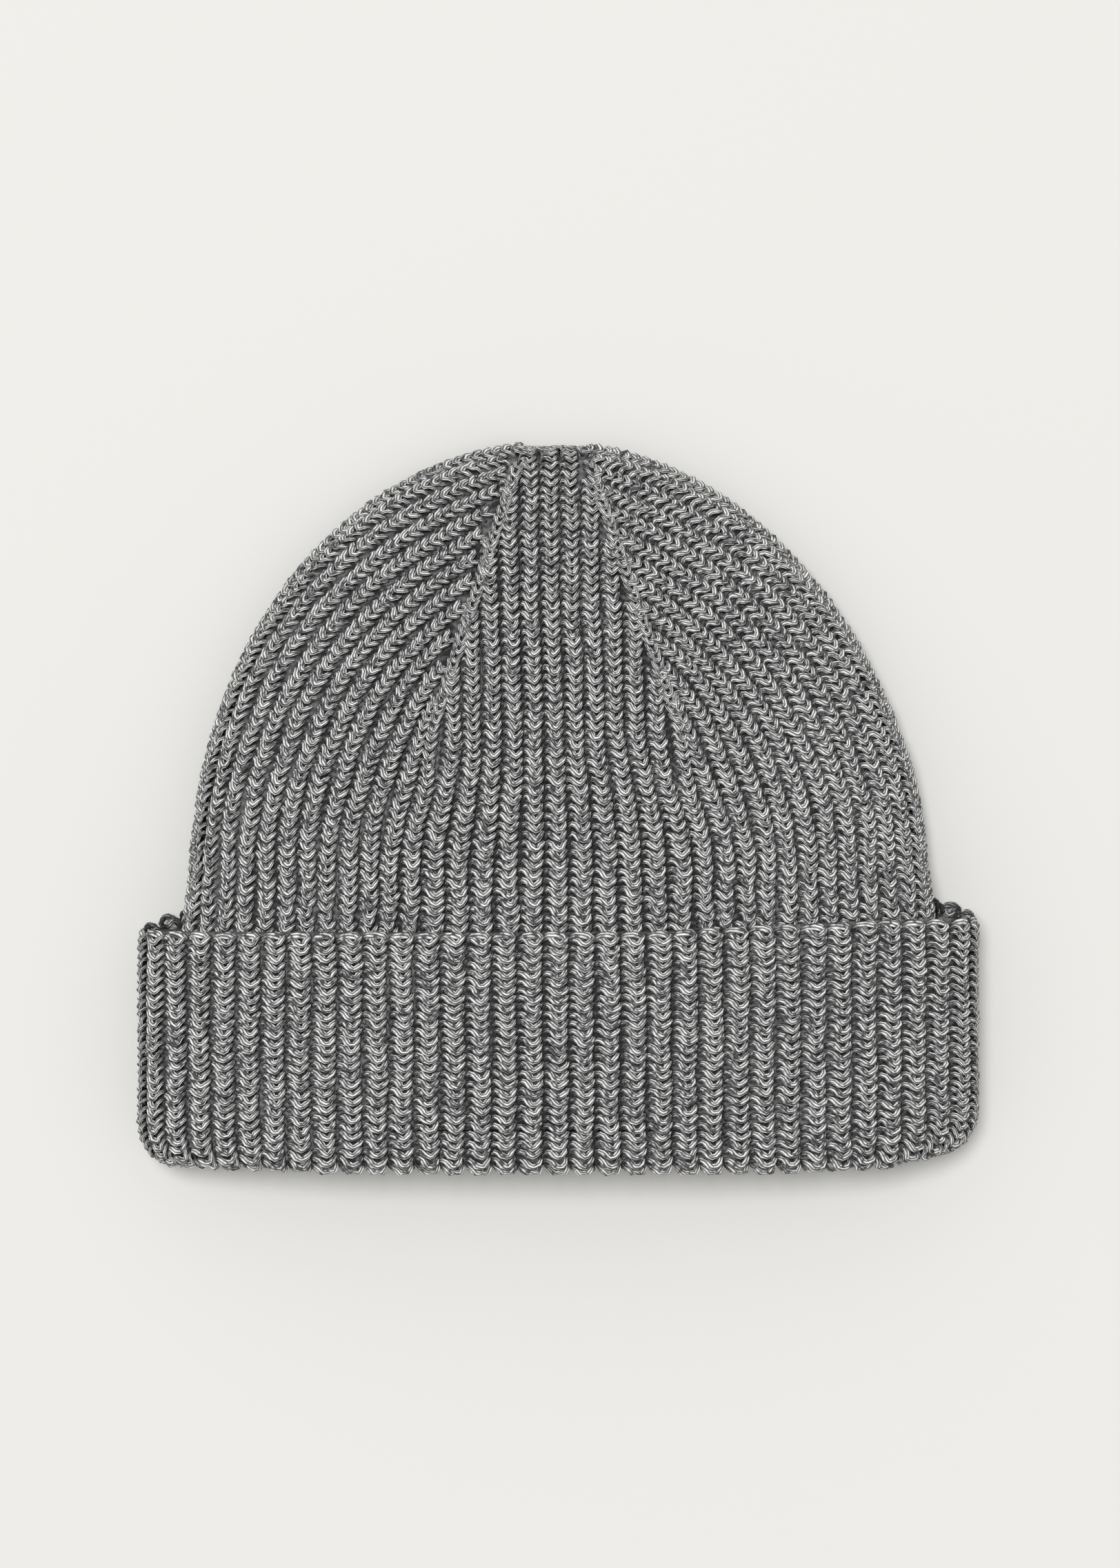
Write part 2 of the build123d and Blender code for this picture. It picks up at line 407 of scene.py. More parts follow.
def mirrored(stitches):
    flip = np.array((-1, 1, 1))
    return {name: values * flip if values.ndim == 2 else values for name, values in stitches.items()}


def chosen(stitches, keep):
    return {name: values[keep] for name, values in stitches.items()}


def joined(parts):
    return {name: np.concatenate([part[name] for part in parts]) for name in parts[0]}


def leaned(points):
    # small lopsided shifts of the flat hat: crown to the left, right corner rounder, mouth sagging
    x, away = points[..., 0], points[..., 1] - hat["mouthY"]
    moved = points.copy()
    moved[..., 0] -= knit["lean"] * risen(away, knit["leanFrom"], knit["leanTo"])
    atCorner = risen(x, knit["cornerFrom"], hat["halfWidth"])
    moved[..., 1] += knit["cornerLift"] * atCorner * (1 - smooth(away / knit["cornerTo"]))
    toRight = risen(x, knit["slantFrom"], knit["slantTo"])
    nearEdge = smooth(away / hat["cuffEnd"]) * (1 - risen(away, hat["cuffEnd"], knit["slantEnd"]))
    moved[..., 1] += knit["edgeSlant"] * toRight * nearEdge
    inMiddle = smooth(2 * (1 - np.abs(x) / knit["sagHalf"]))
    moved[..., 1] -= knit["mouthSag"] * inMiddle * (1 - smooth(away / knit["sagTo"]))
    return moved


pieceStitches = {}


def addStitches(piece, stitches):
    if len(stitches["pitch"]):
        stitches["place"] = leaned(stitches["place"])
        pieceStitches.setdefault(piece, []).append(stitches)


def layBodyRibs(under):
    chance = np.random.default_rng(knit["seed"] + (1 if under else 0))
    plans = sideRibPlans(under)
    plans.update(middleRibPlans())
    face = "Back" if under else "Front"
    for rib in sorted(plans):
        if under and rib in (0, knit["ribs"]):
            continue
        x, s, pitch = plans[rib]
        row = np.interp(rib, (knit["wedgeRibs"], knit["ribs"]), (knit["middleRow"], knit["sideRow"]))
        for side in (-1, 1) if rib else (1,):
            drift = wandering(rib, s, chance)
            shares = sharesAt(np.maximum(x + drift, 0) if rib else x, s, under)
            if rib == knit["ribs"]:
                reached = (s - knit["fanFrom"]) / (hat["crownStart"] - knit["fanFrom"]) / knit["outlineReach"]
                halfWayRound = 2.2 * bodySize(s)[0]  # near enough for a small step round the edge
                shares = shares - knit["outlineRise"] * smooth(reached) / halfWayRound
                pitch = np.minimum(pitch, knit["outlinePitch"])
            points, normals = onBody(s, shares)
            if rib == knit["ribs"]:
                normals = unit(normals + np.array((0, 0, knit["sideLift"])))
            stitches = stitchesOn(points - normals * knit["groundInset"], normals, pitch, row)
            if side < 0:
                stitches = mirrored(stitches)
            away = stitches["place"][:, 1] - hat["mouthY"]
            lining = (np.abs(stitches["place"][:, 0]) < knit["frontHalf"]) & (not under)
            shown = (away > hat["cuffEnd"] - knit["tuckedUnder"]) | lining
            crown = away > hat["crownStart"]
            sideName = "Right" if side > 0 else "Left"
            place = f"body{face}{sideName}Ribs"
            if not under and rib < knit["wedgeRibs"]:
                place = "bodyFrontRibs"
            addStitches(place, chosen(stitches, shown & ~crown))
            place = f"crown{face}Ribs" if rib < knit["wedgeRibs"] else f"crown{sideName}Ribs"
            if under and rib < knit["wedgeRibs"]:
                place = f"crownBack{sideName}Ribs"
            addStitches(place, chosen(stitches, crown))


links = {
    "before": 1 * mm,  # a narrowing line starts this far below the wedge
    "endGap": 4 * mm,
    "underCuff": 6 * mm,
    "inset": 2.2 * mm,
    "pitch": 4.6 * mm,
    "row": 2.6 * mm,
    "seamInset": 2.2 * mm,
    "seamPitch": 5.4 * mm,
    "seamRow": 2.7 * mm,
    "gatherHalf": 10.5 * mm,
    "gatherInset": 2.6 * mm,
    "gatherPitch": 8.5 * mm,
    "steps": 120,
    "seamSteps": 200,
    "gatherSteps": 30,
}


def layLinks():
    # the narrowing lines of the crown and the seam up the back, as raised columns
    s = np.linspace(hat["wedgeStart"] - links["before"], hat["height"] - links["endGap"], links["steps"])
    for under in (False, True):
        points, normals = onBody(s, sharesAt(wedgeEdge(s), s, under))
        line = stitchesOn(points - normals * links["inset"], normals, links["pitch"], links["row"])
        face = "Back" if under else "Front"
        addStitches(f"crownLink{face}Right", line)
        addStitches(f"crownLink{face}Left", mirrored(line))
    low, high = hat["cuffEnd"] - links["underCuff"], hat["height"] - links["endGap"]
    s = np.linspace(low, high, links["seamSteps"])
    points, normals = onBody(s, np.ones(len(s)))
    seam = stitchesOn(points - normals * links["seamInset"], normals, links["seamPitch"], links["seamRow"])
    crown = seam["place"][:, 1] - hat["mouthY"] > hat["crownStart"]
    addStitches("bodyBackSeam", chosen(seam, ~crown))
    addStitches("crownBackSeam", chosen(seam, crown))
    # the drawn-in end of the crown, closed by one row of loops
    x = np.linspace(-links["gatherHalf"], links["gatherHalf"], links["gatherSteps"])
    endY = hat["mouthY"] + hat["height"] - links["gatherInset"]
    end = np.stack((x, 0 * x + endY, 0 * x + hat["crownRise"] / 2), axis=1)
    outward = np.tile((0.0, 1.0, 0.0), (len(x), 1))
    addStitches("crownGather", stitchesOn(end, outward, links["gatherPitch"], links["row"]))


# The turn-up's fabric runs from inside the mouth, round the fold and up to the bound-off edge
cuff = {
    "liningEnd": 50 * mm,
    "edgeRows": 1,
    "backPeek": 5.6 * mm,  # the turn-up's back reaches this much further than its front
    "peekFromRib": 16.5,
    "peekRibs": 4,
    "edgeShare": 0.4,  # of its turn by which the edge stops short
    "edgeTurn": 0.8 * mm,
    "edgeAngle": 100,
    "squeeze": 100 * mm,
    "middleHalf": 46 * mm,
    "blendFrom": 112 * mm,
    "blendTo": 50 * mm,
    "probe": 1 * mm,  # the fabric's direction is taken this far to each side
    "frontFacing": 0.05,  # a rib that faces up more than this is the front's
    "seedStep": 5,
}


def cuffStations():
    # s and section of each station of the path
    ground = knit["groundInset"]
    fold = hat["fabric"] + hat["layerGap"] / 2
    turn = fold - ground
    found = [(s, bodySize(s, hat["fabric"] - ground)) for s in np.linspace(cuff["liningEnd"], fold, 40)]
    for angle in np.linspace(np.pi, 0, 19)[1:-1]:
        s = fold - turn * np.sin(angle)
        found.append((s, cuffSize(s, fold - turn * np.cos(angle))))
    edge = hat["cuffEnd"] - ground - cuff["edgeTurn"] * cuff["edgeShare"]
    found += [(s, cuffSize(s, ground)) for s in np.linspace(fold, edge, 60)]
    for angle in np.radians(np.linspace(0, cuff["edgeAngle"], 9)[1:]):
        s = edge + cuff["edgeTurn"] * np.sin(angle)
        found.append((s, cuffSize(s, ground + cuff["edgeTurn"] * (1 - np.cos(angle)))))
    return found


def layCuffRibs():
    chance = np.random.default_rng(knit["seed"] + cuff["seedStep"])
    ribs = np.arange(2 * knit["ribs"] + 1)
    stations = cuffStations()
    fullArc = halfRing(cuffSize(hat["foldEnd"], knit["groundInset"]))[2][-1]
    backPitch = (fullArc - knit["ribs"] * knit["cuffPitch"]) / knit["ribs"]
    homes = np.where(ribs <= knit["ribs"], ribs * knit["cuffPitch"],
                     knit["ribs"] * knit["cuffPitch"] + (ribs - knit["ribs"]) * backPitch)
    rings = [halfRing(size) for s, size in stations]
    s = np.array([station[0] for station in stations])
    for rib in ribs:
        pitch = knit["cuffPitch"] if rib <= knit["ribs"] else backPitch
        for side in (-1, 1) if 0 < rib < ribs[-1] else (1,):
            drift = wandering(rib, s, chance) * (1 if 0 < rib < ribs[-1] else 0)
            spots = np.zeros((len(stations), 3, 3))
            for i, (x, z, arc, sideArc) in enumerate(rings):
                lost = fullArc - arc[-1]
                squeezed = smooth((homes[rib] - sideArc + cuff["squeeze"] / 2) / cuff["squeeze"])
                home = homes[rib] - lost * squeezed + drift[i]
                for j, step in enumerate((-cuff["probe"], 0, cuff["probe"])):
                    at = np.clip(home + step, -arc[-1], 2 * arc[-1])
                    folded = abs(at) if at < arc[-1] else 2 * arc[-1] - at
                    spotX = np.interp(folded, arc, x) * (-1 if at < 0 or at > arc[-1] else 1)
                    spots[i, j] = (spotX, hat["mouthY"] + s[i], np.interp(folded, arc, z))
            peek = cuff["backPeek"] * smooth((rib - cuff["peekFromRib"]) / cuff["peekRibs"])
            rising = smooth((s - hat["foldEnd"]) / (hat["cuffEnd"] - hat["foldEnd"]))
            rising[: int(np.argmin(s))] = 0
            spots[:, :, 1] += (peek * rising)[:, None]
            path = spots[:, 1]
            across = spots[:, 2] - spots[:, 0]
            outward = unit(np.cross(across, np.gradient(path, axis=0)))
            squeeze = np.linalg.norm(across, axis=1) / (2 * cuff["probe"])
            length = lengthsAlong(path)[-1]
            row = length / np.round(length / knit["cuffRow"])  # whole rows, so every rib ends alike
            stitches = stitchesOn(path, outward, pitch * squeeze, row)
            if side < 0:
                stitches = mirrored(stitches)
            sortCuffStitches(stitches, seam=rib == ribs[-1])


def sortCuffStitches(stitches, seam):
    # gives each stitch of a rib to its section of the turn-up
    away = stitches["place"][:, 1] - hat["mouthY"]
    count = len(away)
    lip = int(np.argmin(away))
    order = np.arange(count)
    lining = (order < lip) & (away > hat["fabric"])
    edge = order >= count - cuff["edgeRows"]
    outer = (order > lip) & (away > hat["flapStart"]) & ~edge
    fold = ~lining & ~outer & ~edge
    halfUp = lip + (count - lip) // 2
    x = stitches["place"][halfUp, 0]
    front = stitches["outward"][halfUp, 2] > cuff["frontFacing"]
    faceName = "Front" if front else "Back"
    addStitches(f"mouthLining{faceName}", chosen(stitches, lining))
    addStitches(f"mouthFold{faceName}", chosen(stitches, fold))
    sideName = "Right" if x > 0 else "Left"
    if front and abs(x) < cuff["middleHalf"]:
        where = "Front"
    elif front:
        where = f"Side{sideName}"
    else:
        where = f"Back{sideName}"
    addStitches("cuffBackSeam" if seam else f"cuff{where}Ribs", chosen(stitches, outer))
    addStitches(f"cuffEdge{where}", chosen(stitches, edge))


layBodyRibs(under=False)
layBodyRibs(under=True)
layLinks()
layCuffRibs()

# One stitch, the linked and seamed ones, and the cap over the end of a rib. Widths are in mm.

stitch = {
    "pitch": 7.2 * mm,
    "row": 2.4 * mm,
    "vWidth": 4.8 * mm,
    "depth": 1.6 * mm,
    "ribWidth": (1.0, 1.6, 1.85, 1.9, 2.1, 2.25, 1.95, 1.9, 2.0, 1.7, 1.1),
    "ribThickness": (0.7, 0.9, 0.95, 1.0, 1.15, 1.25, 1.1, 1.1, 1.15, 1.0, 0.8),
    "loopWidth": (1.2, 1.9, 2.1, 1.9, 1.7, 1.7, 1.8, 1.8, 1.2),
    "loopThickness": (0.8, 1.1, 1.25, 1.2, 1.1, 1.1, 1.15, 1.1, 0.8),
    "capWidth": (1.1, 1.9, 2.3, 2.4, 2.4, 2.0, 1.1),
    "capThickness": (0.8, 1.0, 1.15, 1.2, 1.15, 1.0, 0.8),
    "roll": 24,  # degrees by which the lower edge of a loop stands out
    "capRoll": 16,
    "sides": 6,  # of a strand's section
    "spread": 0.05,
    "paintedDarkBelow": -1.5 * mm,  # painted shade: yarn this deep in a stitch is painted fully dark, and yarn above the next height is left unshaded
    "paintedLitAbove": 1.6 * mm,
    "variants": 6,
    "seedStep": 21,
}

# a row's yarn over one rib: out of the groove, over the low arc, down the long leg and up the short one
ribPath = ((-0.96, -0.66, -1.70), (-0.88, -0.16, -1.00), (-0.77, 0.26, -0.28), (-0.61, 0.40, 0.20),
           (-0.43, 0.26, 0.62), (-0.22, -0.12, 0.90), (0.02, -0.38, 0.66), (0.21, -0.20, 0.80),
           (0.36, 0.14, 0.84), (0.45, 0.46, 0.25), (0.48, 0.74, -1.20))
# a single loop, seen as a V
loopPath = ((-0.55, 0.96, -0.55), (-0.49, 0.53, 0.60), (-0.36, 0.13, 0.95), (-0.18, -0.24, 0.90),
            (0.05, -0.40, 0.70), (0.24, -0.22, 0.75), (0.36, 0.18, 0.85), (0.43, 0.66, 0.60),
            (0.45, 1.08, -0.60))
# the bound-off edge's cap over the end of a rib
capPath = ((-0.96, -1.05, -1.40), (-0.80, -0.70, -0.45), (-0.52, -0.40, 0.20), (-0.12, -0.30, 0.55),
           (0.24, -0.36, 0.48), (0.44, -0.62, -0.10), (0.50, -1.02, -1.20))


def sweptYarn(path, widths, thicknesses, roll, shell):
    # adds one closed strand, wide across the fabric and thin out of it
    sides = stitch["sides"]
    along = unit(np.gradient(path, axis=0))
    flat = unit(np.cross(along, (0, 0, 1)))
    lifted = np.cross(flat, along)
    roll = np.radians(roll)
    flat, lifted = flat * np.cos(roll) + lifted * np.sin(roll), lifted * np.cos(roll) - flat * np.sin(roll)
    turn = 2 * np.pi * (np.arange(sides) + 0.5) / sides
    walked = lengthsAlong(path) / mm
    start = len(shell["points"])
    for i, point in enumerate(path):
        ring = point + np.cos(turn)[:, None] * flat[i] * widths[i] * mm / 2
        ring = ring + np.sin(turn)[:, None] * lifted[i] * thicknesses[i] * mm / 2
        shell["points"].extend(ring.tolist())
        # painted shade: each ring's height in the stitch sets how much darker the yarn there is painted,
        # standing in for the shadow between stitches
        paintedLitShare = (ring[:, 2] - stitch["paintedDarkBelow"]) / (stitch["paintedLitAbove"] - stitch["paintedDarkBelow"])
        shell["paintedLight"].extend(np.clip(paintedLitShare, 0, 1).tolist())
    for i in range(len(path) - 1):
        for j in range(sides):
            k = (j + 1) % sides
            shell["faces"].append([start + i * sides + j, start + (i + 1) * sides + j,
                                   start + (i + 1) * sides + k, start + i * sides + k])
            low, high = j / sides, (j + 1) / sides
            shell["yarnUv"] += [(walked[i], low), (walked[i + 1], low),
                                (walked[i + 1], high), (walked[i], high)]
    for i, order in ((0, 1), (len(path) - 1, -1)):
        shell["faces"].append([start + i * sides + j for j in range(sides)][::order])
        shell["yarnUv"] += [(walked[i], 0.5)] * sides


def meshFrom(name, shell):
    mesh = bpy.data.meshes.new(name)
    mesh.from_pydata(shell["points"], [], shell["faces"])
    layer = mesh.uv_layers.new(name="yarn")
    layer.data.foreach_set("uv", np.array(shell["yarnUv"], np.float32).ravel())
    paintedLight = mesh.attributes.new("paintedLight", "FLOAT", "POINT")
    paintedLight.data.foreach_set("value", np.array(shell["paintedLight"], np.float32))
    mesh.shade_smooth()
    mesh.update()
    return mesh


def shapedPath(points, chance):
    scale = np.array((stitch["vWidth"], stitch["row"], stitch["depth"]))
    moved = np.array(points) + chance.uniform(-stitch["spread"], stitch["spread"], (len(points), 3))
    return moved * scale


def stitchSet(name, points, widths, thicknesses, roll):
    # a few variants of one stitch, in a collection that stays out of the scene
    collection = bpy.data.collections.new(name)
    chance = np.random.default_rng(knit["seed"] + stitch["seedStep"])
    for number in range(stitch["variants"]):
        shell = {"points": [], "faces": [], "yarnUv": [], "paintedLight": []}
        sweptYarn(shapedPath(points, chance), widths, thicknesses, roll, shell)
        variant = bpy.data.objects.new(f"{name}{number}", meshFrom(f"{name}{number}", shell))
        collection.objects.link(variant)
    return collection


# Nodes are made alike in materials and in the tree that lays the stitches


def give(tree, socket, value):
    # a fixed value, or a link from another node's output
    if isinstance(value, bpy.types.NodeSocket):
        tree.links.new(value, socket)
    else:
        socket.default_value = value


def built(tree, kind, inputs=None, out=None, **settings):
    # a node with its settings and its inputs by name or number, given back as its first or named output
    node = tree.nodes.new(kind)
    for name, value in settings.items():
        setattr(node, name, value)
    live = {socket.name: socket for socket in list(node.inputs)[::-1] if socket.enabled}
    for name, value in (inputs or {}).items():
        give(tree, live[name] if isinstance(name, str) else node.inputs[name], value)
    return next(socket for socket in node.outputs if socket.enabled and out in (None, socket.name))


def mathNode(tree, operation, *values):
    return built(tree, "ShaderNodeMath", dict(enumerate(values)), operation=operation)


def split(tree, vector):
    # the first two parts of a vector
    node = tree.nodes.new("ShaderNodeSeparateXYZ")
    tree.links.new(vector, node.inputs[0])
    return node.outputs[0], node.outputs[1]


def rampOf(tree, value, ends):
    node = tree.nodes.new("ShaderNodeValToRGB")
    for element, (position, colour) in zip(node.color_ramp.elements, ends):
        element.position = position
        element.color = colour
    tree.links.new(value, node.inputs[0])
    return node.outputs[0]


def groupSockets(tree, inputs, outputs):
    # gives a group its sockets, and returns what it is given and what it puts out
    for way, kinds in (("INPUT", inputs), ("OUTPUT", outputs)):
        for name, kind in kinds.items():
            tree.interface.new_socket(name, in_out=way, socket_type="NodeSocket" + kind)
    given = {socket.name: socket for socket in tree.nodes.new("NodeGroupInput").outputs}
    return given, tree.nodes.new("NodeGroupOutput").inputs


def newMaterial(name, fixed):
    # a material whose shader has the given fixed inputs
    material = bpy.data.materials.new(name)
    material.use_nodes = True
    shader = material.node_tree.nodes["Principled BSDF"]
    for socket, value in fixed.items():
        shader.inputs[socket].default_value = value
    return material, material.node_tree, shader


def dress(tree, shader, colour, height, relief):
    # colour and fine relief of a surface
    tree.links.new(colour, shader.inputs["Base Color"])
    bump = built(tree, "ShaderNodeBump", {"Strength": 1.0, "Distance": relief, "Height": height})
    tree.links.new(bump, shader.inputs["Normal"])


yarnLook = {
    "strands": 6.0,
    "twist": 0.20,  # strands passed for each mm of yarn
    "darkStrand": (0.095, 0.097, 0.099),
    "middleStrand": (0.655, 0.657, 0.653),
    "paleStrand": (1.0, 1.0, 0.985),
    "tonePerLength": 0.6,
    "toneSpread": 3.2,  # how strongly light and dark fibres differ
    "strandStep": 3.7,
    "seedStep": 211.0,
    # painted shade: how much darker the grooves between strands are painted
    "painted strand shade": 0.88,
    # painted shade on yarn deep in a stitch: its darkest value and the heights over which it fades out
    "paintedDeepShade": 0.06,
    "paintedShadeUpTo": 0.22,
    "paintedLitFrom": 0.85,
    "roughness": 0.86,
    "sheen": 0.12,
    "specular": 0.3,
    "relief": 0.6 * mm,
}


def heatherYarnGroup():
    # colour and height of marled strands, from the yarn's own map and each stitch's seed; the colour carries
    # painted shade in the grooves between strands and on yarn lying deep in a stitch
    tree = bpy.data.node_groups.new("heatherYarn", "ShaderNodeTree")
    node, maths = partial(built, tree), partial(mathNode, tree)
    floats = ("Strands", "Twist", "Tone Per Length", "Painted Strand Shade", "Painted Deep Shade")
    kinds = {**dict.fromkeys(floats, "Float"), **dict.fromkeys(("Dark", "Middle", "Pale"), "Color")}
    given, put = groupSockets(tree, kinds, {"Color": "Color", "Height": "Float"})
    own = partial(node, "ShaderNodeAttribute", attribute_type="GEOMETRY")
    length, around = split(tree, own(out="Vector", attribute_name="yarn"))
    seed = own(out="Fac", attribute_name="yarnSeed")
    phase = maths("MULTIPLY_ADD", around, given["Strands"], maths("MULTIPLY", length, given["Twist"]))
    ridge = maths("SINE", maths("MULTIPLY", maths("FRACT", phase), np.pi))
    place = node("ShaderNodeCombineXYZ", {
        "X": maths("MULTIPLY", maths("FLOOR", phase), yarnLook["strandStep"]),
        "Y": maths("MULTIPLY", length, given["Tone Per Length"]),
        "Z": maths("MULTIPLY", seed, yarnLook["seedStep"]),
    })
    tone = node("ShaderNodeTexNoise", {"Vector": place, "Scale": 1.0, "Detail": 1.0}, noise_dimensions="3D")
    spread = maths("MULTIPLY_ADD", maths("SUBTRACT", tone, 0.5), yarnLook["toneSpread"], 0.5)
    mix = partial(node, "ShaderNodeMix", data_type="RGBA")
    lower = mix({"Factor": maths("MULTIPLY", spread, 2.0), "A": given["Dark"], "B": given["Middle"]})
    colour = mix({"Factor": maths("MULTIPLY_ADD", spread, 2.0, -1.0), "A": lower, "B": given["Pale"]})
    # painted shade in the grooves between strands
    paintedGrooveShade = maths("MULTIPLY", given["Painted Strand Shade"], maths("SUBTRACT", 1.0, ridge))
    # painted shade: yarn deep in a stitch is darkened towards the deep shade value
    paintedLitAmount = node("ShaderNodeMapRange", {
        "Value": own(out="Fac", attribute_name="paintedLight"), "To Min": given["Painted Deep Shade"],
        "From Min": yarnLook["paintedShadeUpTo"], "From Max": yarnLook["paintedLitFrom"],
    }, interpolation_type="SMOOTHSTEP")
    # the painted light and shade, multiplied into the yarn's colour
    light = maths("MULTIPLY", maths("SUBTRACT", 1.0, paintedGrooveShade), paintedLitAmount)
    tree.links.new(node("ShaderNodeVectorMath", {0: colour, "Scale": light}, operation="SCALE"), put["Color"])
    tree.links.new(ridge, put["Height"])
    return tree


heatherYarn = heatherYarnGroup()


def yarnMaterial(name, bright=1.0):
    material, tree, shader = newMaterial(name, {
        "Roughness": yarnLook["roughness"], "Sheen Weight": yarnLook["sheen"],
        "Specular IOR Level": yarnLook["specular"],
    })
    yarn = tree.nodes.new("ShaderNodeGroup")
    yarn.node_tree = heatherYarn
    values = {"Strands": "strands", "Twist": "twist", "Tone Per Length": "tonePerLength", "Painted Strand Shade": "painted strand shade",
              "Painted Deep Shade": "paintedDeepShade"}
    for socket, value in values.items():
        yarn.inputs[socket].default_value = yarnLook[value]
    for socket in ("Dark", "Middle", "Pale"):
        colour = [channel * bright for channel in yarnLook[socket.lower() + "Strand"]]
        yarn.inputs[socket].default_value = (*colour, 1)
    dress(tree, shader, yarn.outputs["Color"], yarn.outputs["Height"], yarnLook["relief"])
    return material


ribKnit = yarnMaterial("ribKnit")
# painted highlight: the linking and edge yarn are the rib yarn painted a little brighter
linkingYarn = yarnMaterial("linkingYarn", bright=1.05)
edgeYarn = yarnMaterial("edgeYarn", bright=1.03)


innerShadeLook = {
    "ribEvery": 6.9 * mm,
    "rowEvery": 2.5 * mm,
    "rowBend": 1.6,
    "ribHeight": 0.28,
    "rowHeight": 0.22,
    # painted shade: the inner cloth is coloured far darker than the yarn, for the hollows between stitches
    "dark": (0.022, 0.023, 0.024, 1),
    "pale": (0.17, 0.172, 0.172, 1),
    "darkUpTo": 0.25,
    "paleFrom": 0.95,
    "grain": 900,
    "relief": 0.8 * mm,
}


def paintedShadeBackingMaterial():
    # the fabric's inner side, seen between stitches and deep inside: low ribs with rows bent over them,
    # coloured far darker than the yarn as painted shade in the hollows
    material, tree, shader = newMaterial("innerKnitPaintedShade", {"Roughness": 0.95})
    maths = partial(mathNode, tree)
    place = built(tree, "ShaderNodeTexCoord", out="Object")
    fuzz = built(tree, "ShaderNodeTexNoise", {"Vector": place, "Scale": innerShadeLook["grain"], "Detail": 3})
    across, up = split(tree, place)
    ribs = maths("COSINE", maths("MULTIPLY", across, 2 * np.pi / innerShadeLook["ribEvery"]))
    along = maths("MULTIPLY", up, 2 * np.pi / innerShadeLook["rowEvery"])
    rows = maths("SINE", maths("MULTIPLY_ADD", ribs, innerShadeLook["rowBend"], along))
    rowsAndFuzz = maths("MULTIPLY_ADD", rows, innerShadeLook["rowHeight"], fuzz)
    height = maths("MULTIPLY_ADD", ribs, innerShadeLook["ribHeight"], rowsAndFuzz)
    ends = (innerShadeLook["darkUpTo"], innerShadeLook["dark"]), (innerShadeLook["paleFrom"], innerShadeLook["pale"])
    dress(tree, shader, rampOf(tree, height, ends), height, innerShadeLook["relief"])
    return material


innerKnitPaintedShade = paintedShadeBackingMaterial()

# Geometry Nodes lay a stitch on every guide point

ribLay = {
    "tilt": 0.09,  # radians by which a stitch may lean any way
    "sizeVariation": 0.06,
    "depth": 1.0,
    "seedStep": 10,
}


def stitchTree():
    # every stitch stands up from the fabric, turned along its rib and sized by the pitch and row there
    tree = bpy.data.node_groups.new("layStitches", "GeometryNodeTree")
    node, maths = partial(built, tree), partial(mathNode, tree)
    floats = ("Stitch Pitch", "Stitch Row", "Depth", "Tilt", "Size Variation")
    kinds = {"Guide": "Geometry", "Stitches": "Collection", **dict.fromkeys(floats, "Float"),
             "Variants": "Int", "Seed": "Int", "Material": "Material"}
    given, put = groupSockets(tree, kinds, {"Geometry": "Geometry"})

    def named(name, kind):
        return node("GeometryNodeInputNamedAttribute", {"Name": name}, data_type=kind)

    def drawn(kind, low, high, offset):
        seed = maths("ADD", given["Seed"], offset)
        return node("FunctionNodeRandomValue", {"Min": low, "Max": high, "Seed": seed}, data_type=kind)

    stand = node("FunctionNodeAxesToRotation", {
        "Primary Axis": named("outward", "FLOAT_VECTOR"), "Secondary Axis": named("along", "FLOAT_VECTOR"),
    }, primary_axis="Z", secondary_axis="Y")
    anyWay = drawn("FLOAT_VECTOR", (-1, -1, -1), (1, 1, 1), 1)
    lean = node("ShaderNodeVectorMath", {0: anyWay, "Scale": given["Tilt"]}, operation="SCALE")
    leanTurn = node("FunctionNodeEulerToRotation", {0: lean})
    turned = node("FunctionNodeRotateRotation", {0: stand, 1: leanTurn}, rotation_space="LOCAL")
    smaller = maths("SUBTRACT", 1.0, given["Size Variation"])
    larger = maths("ADD", 1.0, given["Size Variation"])
    wide = maths("DIVIDE", named("pitch", "FLOAT"), given["Stitch Pitch"])
    tall = maths("DIVIDE", named("row", "FLOAT"), given["Stitch Row"])
    size = node("ShaderNodeCombineXYZ", {
        "X": maths("MULTIPLY", wide, drawn("FLOAT", smaller, larger, 2)),
        "Y": maths("MULTIPLY", tall, drawn("FLOAT", smaller, larger, 3)),
        "Z": maths("MULTIPLY", given["Depth"], drawn("FLOAT", smaller, larger, 4)),
    })
    source = node("GeometryNodeCollectionInfo", {
        "Collection": given["Stitches"], "Separate Children": True, "Reset Children": True,
    })
    laid = node("GeometryNodeInstanceOnPoints", {
        "Points": given["Guide"], "Instance": source, "Pick Instance": True,
        "Instance Index": drawn("INT", 0, maths("SUBTRACT", given["Variants"], 1), 5),
        "Rotation": turned, "Scale": size,
    })
    marked = node("GeometryNodeStoreNamedAttribute", {
        "Geometry": laid, "Name": "yarnSeed", "Value": drawn("FLOAT", 0.0, 1.0, 6),
    }, data_type="FLOAT", domain="INSTANCE")
    real = node("GeometryNodeRealizeInstances", {0: marked})
    finish = node("GeometryNodeSetMaterial", {"Geometry": real, "Material": given["Material"]})
    tree.links.new(finish, put["Geometry"])
    return tree


stitchTreeGroup = stitchTree()
ribStitches = stitchSet("ribStitch", ribPath, stitch["ribWidth"], stitch["ribThickness"], stitch["roll"])
linkStitches = stitchSet("linkStitch", loopPath, stitch["loopWidth"], stitch["loopThickness"], stitch["roll"])
capStitches = stitchSet("capStitch", capPath, stitch["capWidth"], stitch["capThickness"], stitch["capRoll"])


